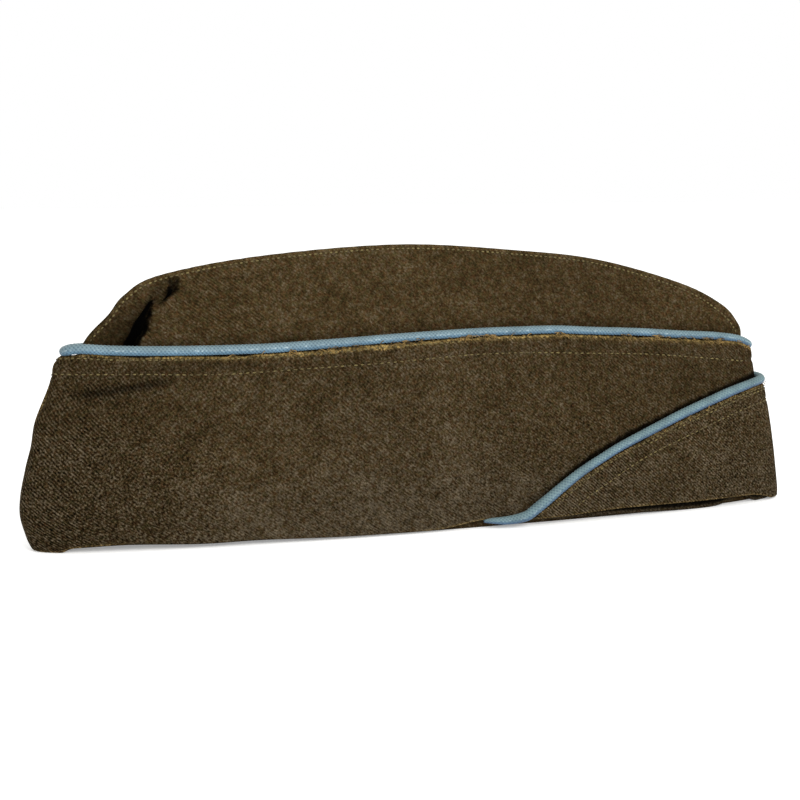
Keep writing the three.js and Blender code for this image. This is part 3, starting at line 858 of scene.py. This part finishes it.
def braidCord():
    material, add = newMaterial("braid_rayon")
    along, around, weave, top, grime = (add("Attribute", out="Fac", attribute_name=mark)
                                        for mark in ("along", "around", "weave", "top", "grime"))
    girth = add("Math MULTIPLY", (around, 2 * math.pi * braid["radius"]))
    place = add("CombineXYZ", (along, girth))
    drawn = add("VectorMath MULTIPLY", (place, (0.5, 1, 1)))
    wear = add("TexNoise", {"Vector": drawn, "Scale": 1 / braid["wear"], "Detail": 2, "Roughness": 0.7})
    patch = add("TexNoise", {"Vector": place, "Scale": 1 / braid["patch"], "Detail": 3})
    # colour by which way the cord faces: paler on top, darker and bluer below, partly painted light and shade
    fade = add("MapRange", (top, -0.6, 0.2))
    dustAndLight = add("MapRange", (top, 0.3, 0.95))
    # painted shade in the weave's grooves
    low = add("MapRange", (weave, 0.4, -1.4, 0, 0.8))
    grimeAndShade = {0: fade, 6: linear(braid["grimeAndShadeLow"]), 7: linear(braid["grimeTop"])}
    grimeAndShade = add("Mix", grimeAndShade, 2, data_type="RGBA")
    # the rubbed line along the middle of the cord's outer side, partly a painted highlight
    off = add("Math ABSOLUTE", (top,))
    most = add("Math MULTIPLY_ADD", (grime, -0.45, 0.85))
    rubbedAndHighlit = add("MapRange", (off, 0.32, 0.08, 0.06, most))
    specks = add("MapRange", (wear, 0.5, 0.7, 0, rubbedAndHighlit))
    colour = linear(braid["blue"])
    for share, over, blend in (
        (fade, linear(braid["fadedAndLit"]), "MIX"), (dustAndLight, linear(braid["soiledAndLit"]), "MIX"),
        (grime, grimeAndShade, "MULTIPLY"), (low, linear(braid["groove"]), "MIX"),
        (specks, linear(braid["speck"]), "MIX"),
    ):
        colour = add("Mix", {0: share, 6: colour, 7: over}, 2, data_type="RGBA", blend_type=blend)
    tone = add("MapRange", (patch, 0.3, 0.7, 0.82, 1.16))
    surface = add("BsdfPrincipled", {
        "Base Color": add("VectorMath SCALE", {0: colour, "Scale": tone}), "Roughness": 0.62,
        "Normal": add("Bump", {"Strength": 0.5, "Distance": 0.1 * mm, "Height": wear}), "IOR": 1.5,
        "Specular IOR Level": 0.35, "Sheen Weight": 0.1, "Sheen Roughness": 0.4,
    })
    add("OutputMaterial", (surface,))
    return material


def edgeCentres(half, runs, radiusAt):
    # centres of the braid beside the free edge of one half, and the way out of the cloth there
    def edgePoint(angle):
        run = runAt(angle)
        depth = curtain["wall"] - lapAt(half, run) - np.maximum(radiusAt(run), curtain["wall"] / 2)
        return bandPoint(half, angle, tableCurve(half["edge"], run), depth)
    angle = angleAt(runs)
    travel = unit(edgePoint(angle + 0.01) - edgePoint(angle - 0.01))
    nx, ny = bandNormal(half, angle, tableCurve(half["edge"], runs))
    outward = np.stack([nx, ny, 0 * nx], -1)
    away = unit(np.cross(outward, travel) * -half["side"])
    radius = radiusAt(runs)
    return edgePoint(angle) + away * (radius + crown["seamGap"])[:, None], outward, radius


def braidPath():
    ahead = [1, 1.6, 2.2, 3, 4]     # the band turns fast at the front seam
    parts = []
    for half, name, runs in (
        (leftHalf, "left", np.concatenate([np.arange(312, 4, -1.0), ahead[::-1]])),
        (rightHalf, "right", np.concatenate([ahead, np.arange(5, 383, 1.0)])),
    ):
        radiusAt = partial(tableCurve, braid[name + "Radii"])
        parts.append((*edgeCentres(half, runs, radiusAt), tableCurve(braid[name + "Grime"], runs)))
    x, z, depth, radius = np.array(braid["tail"]).T
    angle = 2 * np.pi - angleAt(curtain["bandHalf"] + x + curtain["runShift"])
    nx, ny = bandNormal(rightHalf, angle, z)
    outward = np.stack([nx, ny, 0 * nx], -1)
    grime = np.full(len(x), braid["rightGrime"][-1][1])
    parts.append((bandPoint(rightHalf, angle, z, depth), outward, radius, grime))
    centres, outward, radius, grime = (np.concatenate(column) for column in zip(*parts))
    centres[:, 2] -= braid["frontDip"] * softStep(centres[:, 0], -126.6, -130.6)
    centres[:, 0] += braid["frontPull"] * softStep(centres[:, 0], -119, -131)
    length = np.concatenate([[0], np.cumsum(np.linalg.norm(np.diff(centres, axis=0), axis=1))])
    stops = np.arange(0, length[-1], pathStep)
    smooth = lambda values: np.stack([np.interp(stops, length, column) for column in values.T], -1)
    centres, outward = smooth(centres), smooth(outward)
    radius, grime = np.interp(stops, length, radius), np.interp(stops, length, grime)
    for again in range(braid["rounds"]):
        centres[1:-1] = (centres[:-2] + 2 * centres[1:-1] + centres[2:]) / 4
        outward[1:-1] = (outward[:-2] + 2 * outward[1:-1] + outward[2:]) / 4
    bend = softStep(centres[1:-1, 0], -120, -128)[:, None]      # round the front seam the cord turns softly
    for again in range(braid["frontRounds"]):
        centres[1:-1] += bend * (centres[:-2] - 2 * centres[1:-1] + centres[2:]) / 4
    return centres, unit(outward), radius, grime


def pathPiece(name, lines, marks):
    # polylines as loose edges
    edges, start = [], 0
    for line in lines:
        edges += [(start + i, start + i + 1) for i in range(len(line) - 1)]
        start += len(line)
    return newObject(name, newMesh(name, np.concatenate(lines), edges, [], marks))


def newTree(name, sizes, marks):
    # an empty geometry tree, the call that adds nodes to it, and what they read: a named input for each size
    # and the points' own marks
    tree = bpy.data.node_groups.new(name, "GeometryNodeTree")
    add = partial(addNode, tree)
    for label, kind in {"Geometry": "Geometry", **sizes}.items():
        tree.interface.new_socket(label, in_out="INPUT", socket_type="NodeSocket" + kind)
    tree.interface.new_socket("Geometry", in_out="OUTPUT", socket_type="NodeSocketGeometry")
    given = {socket.name: socket for socket in add("NodeGroupInput").node.outputs}
    for mark in marks:
        kind = "FLOAT_VECTOR" if mark == "outward" else "FLOAT"
        given[mark] = add("GeometryNodeInputNamedAttribute", (mark,), data_type=kind)
    return tree, add, given


def closeTree(tree, add, shape, material):
    # copies become one plain mesh with its material
    shape = add("GeometryNodeRealizeInstances", (shape,))
    shape = add("GeometryNodeSetMaterial", {"Geometry": shape, "Material": material})
    add("NodeGroupOutput", (shape,))
    return tree


def lieAlong(add, outward, low, high, seed):
    # copies lie along the line with their backs to the cloth, each turned a little between low and high
    tangent = add("GeometryNodeInputTangent")
    lie = add("FunctionNodeAlignRotationToVector", {"Vector": tangent}, axis="X")
    back = {"Rotation": lie, "Vector": outward}
    lie = add("FunctionNodeAlignRotationToVector", back, axis="Z", pivot_axis="X")
    turn = add("FunctionNodeRandomValue", {0: low, 1: high, "Seed": seed}, data_type="FLOAT_VECTOR")
    return add("FunctionNodeRotateRotation", {"Rotation": lie, "Rotate By": turn}, rotation_space="LOCAL")


def runTree(piece, tree, values):
    # evaluates the tree on the piece and keeps the result as its plain mesh
    modifier = piece.modifiers.new("shape", "NODES")
    modifier.node_group = tree
    for item in tree.interface.items_tree:
        if item.in_out == "INPUT" and item.name in values:
            modifier[item.identifier] = values[item.name]
    bpy.context.view_layer.update()
    done = piece.evaluated_get(bpy.context.evaluated_depsgraph_get())
    mesh = bpy.data.meshes.new_from_object(done)
    piece.modifiers.remove(modifier)
    path = piece.data
    piece.data = mesh
    mesh.name = piece.name
    bpy.data.meshes.remove(path)
    mesh.shade_smooth()
    print(piece.name, len(mesh.polygons), "faces")


def braidTree():
    tree, add, given = newTree("braid_piping", {
        "Weave pitch": "Float", "Strands": "Float", "Weave height": "Float", "Ring step": "Float",
        "Sides": "Int", "Braid": "Material",
    }, ("outward", "radius_mm", "along", "around", "weave"))
    store, kept = "GeometryNodeStoreNamedAttribute", {"data_type": "FLOAT", "domain": "POINT"}
    line = add("GeometryNodeMeshToCurve", (given["Geometry"],))
    line = add("GeometryNodeResampleCurve", {"Curve": line, "Length": given["Ring step"]}, mode="LENGTH")
    line = add("GeometryNodeSetCurveNormal", {"Curve": line, "Normal": given["outward"]}, mode="FREE")
    length = add("GeometryNodeSplineParameter", out="Length")
    length = add("Math MULTIPLY", (length, 1 / mm))
    line = add(store, {"Geometry": line, "Name": "along", "Value": length}, **kept)
    circle = {"Resolution": given["Sides"], "Radius": 1.0}
    circle = add("GeometryNodeCurvePrimitiveCircle", circle, mode="RADIUS")
    circle = add("GeometryNodeTransform", {"Geometry": circle, "Rotation": (0, 0, math.pi)})
    turn = add("GeometryNodeSplineParameter", out="Factor")
    circle = add(store, {"Geometry": circle, "Name": "around", "Value": turn}, **kept)
    radius = add("Math MULTIPLY", (given["radius_mm"], mm))
    sizes = {"Curve": line, "Profile Curve": circle, "Scale": radius, "Fill Caps": True}
    tube = add("GeometryNodeCurveToMesh", sizes)
    # strands that wind both ways: the sum of two slanting waves is a diamond weave
    steps = add("Math DIVIDE", (given["along"], given["Weave pitch"]))
    weave = 0.0
    for way in (1, -1):
        turns = add("Math MULTIPLY", (given["Strands"], way))
        wave = add("Math MULTIPLY_ADD", (given["around"], turns, steps))
        wave = add("Math MULTIPLY", (wave, 2 * math.pi))
        wave = add("Math SINE", (wave,))
        weave = add("Math ADD", (wave, weave))
    tube = add(store, {"Geometry": tube, "Name": "weave", "Value": weave}, **kept)
    height = add("Math MULTIPLY", (given["weave"], given["Weave height"]))
    normal = add("GeometryNodeInputNormal")
    lift = add("VectorMath SCALE", {0: normal, "Scale": height})
    upward = add("SeparateXYZ", (normal,), "Z")
    tube = add(store, {"Geometry": tube, "Name": "top", "Value": upward}, **kept)
    tube = add("GeometryNodeSetPosition", {"Geometry": tube, "Offset": lift})
    return closeTree(tree, add, tube, given["Braid"])


centres, outward, radius, grime = braidPath()
piping = pathPiece("braid_piping", [centres], {"outward": outward, "radius_mm": radius, "grime": grime})
runTree(piping, braidTree(), {
    "Weave pitch": braid["weavePitch"], "Strands": float(braid["strands"]),
    "Weave height": braid["weaveHeight"] * mm, "Ring step": braid["ringStep"] * mm, "Sides": braid["sides"],
    "Braid": braidCord(),
})
print("braid made")

# Stitching: cotton thread in short lockstitches that sink into the wool at both ends. The eye gets rows of
# dull tan beads, some darker than others.
stitching = {
    "seam": (1.85, 1.15, 0.64),     # pitch, length and thickness of a stitch in each kind of row
    "band": (2.35, 1.4, 0.56),
    "edge": (2.1, 1.3, 0.52),
    "flap": (2.1, 1.4, 0.6),
    "rows": [               # half, its row or -1 for its edge, how far below, first and last run, kind
        (leftHalf, 0, 0, 0, 273, "band"), (leftHalf, -1, 1.1, 0, 150, "edge"),
        (rightHalf, 0, 0, 0, 376, "flap"), (rightHalf, 1, 0, 0, 370, "flap"),
        (rightHalf, 0, 1.0, 276, 336, "flap"),
    ],
    "proud": 0.14,
    "seed": 5,
    "pale": "#685c36",
    "dark": "#463c22",
    "spot": 3.0,            # size of the paler and darker spots
    "spread": (0.35, 0.65),
    "twist": 0.5,           # strength of the thread's plies
    "roughness": 0.75,
    "shine": 0.3,
}


def seamStitchLine(side):
    # the row beside the front seam, crest and back seam
    place = outlinePoint(np.linspace(0.17, 0.835, 900))
    travel = unit(np.gradient(place, axis=0))
    row = tableCurve(crown["welts"], place[:, 0])
    x = place[:, 0] + travel[:, 1] * row
    z = place[:, 1] - travel[:, 0] * row
    seen = z > edgeBeside(side, x) - 2
    x, z = x[seen], z[seen]
    away = seamAway(x, z)
    relief = crownRelief(side, x, z, away) + stitching["proud"]
    return crownPoint(side, x, z, sewnWall(away), relief)


def bandStitchLine(half, runs, heights):
    angle = angleAt(runs)
    arc = np.interp(angle, *bandLength(half))
    low, high = tableCurve(half["lift"], runs), tableCurve(half["edge"], runs)
    relief = bandRelief(half, runs, arc, heights, np.minimum(high - heights, heights - low))
    return bandPoint(half, angle, heights, -lapAt(half, runs) - relief - stitching["proud"])


def stitchLines():
    # every row with its kind
    lines = [(seamStitchLine(side), "seam") for side in (-1, 1)]
    for half, row, below, first, last, kind in stitching["rows"]:
        runs = np.arange(max(first, 3), last, pathStep)
        if first == 0:          # the band turns fast at the front seam
            runs = np.append(np.geomspace(0.02, 2.9, 40), runs)
        heights = [*stitchHeights(half, runs), tableCurve(half["edge"], runs)]
        lines.append((bandStitchLine(half, runs, heights[row] - below), kind))
    return lines


def lineNormals(line):
    # away from the middle of the cap, square to the line
    travel = unit(np.gradient(line, axis=0))
    x, y = line[:, 0], line[:, 1]
    out = np.stack([0.05 * np.sign(x) * (np.abs(x) > 120), np.sign(y), 0.15 + 0 * x], -1)
    return unit(out - travel * (out * travel).sum(1, keepdims=True))


def spunMaterial(name, look):
    # spun fibres, paler and darker in spots
    material, add = newMaterial(name)
    place = add("TexCoord", out="Object")
    spots = add("TexNoise", {"Vector": place, "Scale": 1 / (look["spot"] * mm), "Detail": 2})
    plies = add("TexNoise", {"Vector": place, "Scale": 1 / (0.4 * mm), "Detail": 1})
    share = add("MapRange", (spots, *look["spread"]))
    fibres = {0: share, 6: linear(look["dark"]), 7: linear(look["pale"])}
    surface = add("BsdfPrincipled", {
        "Base Color": add("Mix", fibres, 2, data_type="RGBA"),
        "Normal": add("Bump", {"Strength": look["twist"], "Distance": 0.1 * mm, "Height": plies}),
        "Roughness": look["roughness"], "IOR": 1.5, "Specular IOR Level": look["shine"],
    })
    add("OutputMaterial", (surface,))
    return material


def stitchTree():
    sizes = {"Seed": "Int", "Thread": "Material"}
    tree, add, given = newTree("stitch_rows", sizes, ("pitch", "long", "thick", "outward"))
    line = add("GeometryNodeMeshToCurve", (given["Geometry"],))
    line = add("GeometryNodeResampleCurve", {"Curve": line, "Length": given["pitch"]}, mode="LENGTH")
    stitch = add("GeometryNodeMeshUVSphere", {"Segments": 8, "Rings": 6, "Radius": 0.5})
    stitch = add("GeometryNodeTransform", {"Geometry": stitch, "Rotation": (0, math.pi / 2, 0)})
    lie = lieAlong(add, given["outward"], (0, 0, -0.12), (0, 0, 0.12), given["Seed"])
    size = add("CombineXYZ", (given["long"], given["thick"], given["thick"]))
    limits = {0: (0.82, 0.8, 0.8), 1: (1.08, 1.1, 1.0), "Seed": given["Seed"]}
    vary = add("FunctionNodeRandomValue", limits, data_type="FLOAT_VECTOR")
    size = add("VectorMath MULTIPLY", (size, vary))
    copies = {"Points": line, "Instance": stitch, "Rotation": lie, "Scale": size}
    return closeTree(tree, add, add("GeometryNodeInstanceOnPoints", copies), given["Thread"])


rows = stitchLines()
kinds = np.concatenate([np.tile(stitching[kind], (len(row), 1)) for row, kind in rows]) * mm
rows = [row for row, kind in rows]
outward = np.concatenate([lineNormals(row) for row in rows])
marks = {"outward": outward, "pitch": kinds[:, 0], "long": kinds[:, 1], "thick": kinds[:, 2]}
stitches = pathPiece("thread_stitches", rows, marks)
thread = spunMaterial("cotton_thread", stitching)
runTree(stitches, stitchTree(), {"Seed": stitching["seed"], "Thread": thread})
print("stitches made")

# Frayed edge: wool fibres that stand off the worn free edge of the curtain. The eye gets a fine dull fuzz,
# tan where the dye has gone.
fraying = {
    "rows": [               # below the free edge, off the cloth, most fibres
        (0.25, 0.05, 0.6), (0.8, 0.12, 0.6), (-0.45, 0.85, 0.9),
    ],
    "seed": 9,
    "pitch": 0.55,
    "length": 2.2,
    "thickness": 0.24,
    "pale": "#8a7043",
    "dark": "#3a2f1e",
    "spot": 2.0,
    "spread": (0.38, 0.58),
    "twist": 0.0,
    "roughness": 0.9,
    "shine": 0.15,
}


def frayLines():
    # lines along the free edge, and the share of their points that carry a fibre
    lines, chances = [], []
    for down, out, most in fraying["rows"]:
        for half in (leftHalf, rightHalf):
            runs = np.arange(*half["frays"], pathStep)
            arc = np.interp(angleAt(runs), *bandLength(half))
            heights = tableCurve(half["edge"], runs) - down
            lines.append(bandPoint(half, angleAt(runs), heights, -lapAt(half, runs) - out))
            used = softStep(runs, 40, 80) if half is leftHalf else 0.4 * softStep(runs, 340, 320)
            tuft = softStep(hills(arc, 0, 3.5, half["seed"] + 12), 0.1, 0.6)
            chances.append((0.06 + most * tuft) * used)
    return lines, np.concatenate(chances)


def frayTree():
    sizes = {"Pitch": "Float", "Length": "Float", "Thinness": "Float", "Seed": "Int", "Fibre": "Material"}
    tree, add, given = newTree("frayed_edge", sizes, ("chance", "outward"))
    line = add("GeometryNodeMeshToCurve", (given["Geometry"],))
    line = add("GeometryNodeResampleCurve", {"Curve": line, "Length": given["Pitch"]}, mode="LENGTH")
    bow = add("GeometryNodeCurveQuadraticBezier", {
        "Resolution": 5, "Start": (-0.5, -0.1, -0.05), "Middle": (0.05, 0.35, 0.22), "End": (0.5, 0.02, 0.06),
    })
    ring = add("GeometryNodeCurvePrimitiveCircle", {"Resolution": 4, "Radius": 0.5}, mode="RADIUS")
    fibre = {"Curve": bow, "Profile Curve": ring, "Scale": given["Thinness"], "Fill Caps": True}
    fibre = add("GeometryNodeCurveToMesh", fibre)
    lots = {"Probability": given["chance"], "Seed": given["Seed"]}
    chosen = add("FunctionNodeRandomValue", lots, 3, data_type="BOOLEAN")
    lie = lieAlong(add, given["outward"], (-0.5, -0.25, -0.8), (0.5, 0.15, 0.8), given["Seed"])
    vary = add("FunctionNodeRandomValue", {2: 0.4, 3: 1.25, "Seed": given["Seed"]}, 1, data_type="FLOAT")
    size = add("Math MULTIPLY", (vary, given["Length"]))
    copies = {"Points": line, "Selection": chosen, "Instance": fibre, "Rotation": lie, "Scale": size}
    return closeTree(tree, add, add("GeometryNodeInstanceOnPoints", copies), given["Fibre"])


edges, chances = frayLines()
outward = np.concatenate([lineNormals(edge) for edge in edges])
fibres = pathPiece("wool_frayed_edge", edges, {"outward": outward, "chance": chances})
runTree(fibres, frayTree(), {
    "Pitch": fraying["pitch"] * mm, "Length": fraying["length"] * mm,
    "Thinness": fraying["thickness"] / fraying["length"], "Seed": fraying["seed"],
    "Fibre": spunMaterial("wool_fibre", fraying),
})
print("frayed edge made")

# Camera at the photograph's viewing angle
view = {
    "azimuth": -16.13, "elevation": 10.0, "distance": 500.0, "target": (-12.12, 0.0, 45.14), "lens": 62.86,
    "sensor": 36, "near": 0.01,
}
turn, rise = math.radians(view["azimuth"]), math.radians(view["elevation"])
back = np.array([math.sin(turn) * math.cos(rise), -math.cos(turn) * math.cos(rise), math.sin(rise)])
eye = (np.array(view["target"]) + capPlace + view["distance"] * back) * mm
camera = newObject("camera", bpy.data.cameras.new("camera"))
camera.data.lens = view["lens"]
camera.data.sensor_width = view["sensor"]
camera.data.clip_start = view["near"]
camera.location = eye
camera.rotation_euler = Vector(-back).to_track_quat("-Z", "Y").to_euler()
scene.camera = camera

# Studio: white room light, a large soft lamp from the right of the camera and a pale floor
studio = {
    "room": 1.0, "lampPower": 14.0, "lampSize": 0.7, "lampPlace": (0.3, -1.15, 0.85),
    "lampAim": (0, 0, 0.04),
    "floor": "#f4f4f2", "floorGlow": 0.3, "floorSize": 6.0,
}
world = bpy.data.worlds.new("studio")
world.use_nodes = True
world.node_tree.nodes["Background"].inputs["Color"].default_value = (1, 1, 1, 1)
world.node_tree.nodes["Background"].inputs["Strength"].default_value = studio["room"]
scene.world = world
lamp = newObject("softbox", bpy.data.lights.new("softbox", "AREA"))
lamp.data.energy = studio["lampPower"]
lamp.data.shape = "SQUARE"
lamp.data.size = studio["lampSize"]
lamp.location = studio["lampPlace"]
lamp.rotation_euler = (Vector(studio["lampAim"]) - lamp.location).to_track_quat("-Z", "Y").to_euler()
reach = studio["floorSize"] / 2
floorMesh = bpy.data.meshes.new("floor")
corners = [(-reach, -reach, 0), (reach, -reach, 0), (reach, reach, 0), (-reach, reach, 0)]
floorMesh.from_pydata(corners, [], [(0, 1, 2, 3)])
floor = newObject("floor", floorMesh)
floorMaterial, add = newMaterial("painted_floor")
surface = add("BsdfPrincipled", {
    "Base Color": linear(studio["floor"]), "Roughness": 0.9, "Specular IOR Level": 0.1,
    "Emission Color": (1, 1, 1, 1), "Emission Strength": studio["floorGlow"],   # lit through from below
})
add("OutputMaterial", (surface,))
floorMesh.materials.append(floorMaterial)
scene.view_settings.view_transform = "Standard"
print("studio set")

# What each piece stands for, rides on and is cut from
cuts = {
    crownLeft: ("crown_left", (0.265, 0.103), 0.0237),
    crownRight: ("crown_right", (0.265, 0.103), 0.0237),
    curtainLeft: ("curtain_left", (0.33, 0.068), 0.0198),
    curtainRight: ("curtain_right", (0.40, 0.068), 0.0198),
}
for piece, (node, flat, area) in cuts.items():
    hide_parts(node)
    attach(piece, "root")
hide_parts("piping")
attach(piping, "root")
for piece in (stitches, fibres):
    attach(piece, "root")
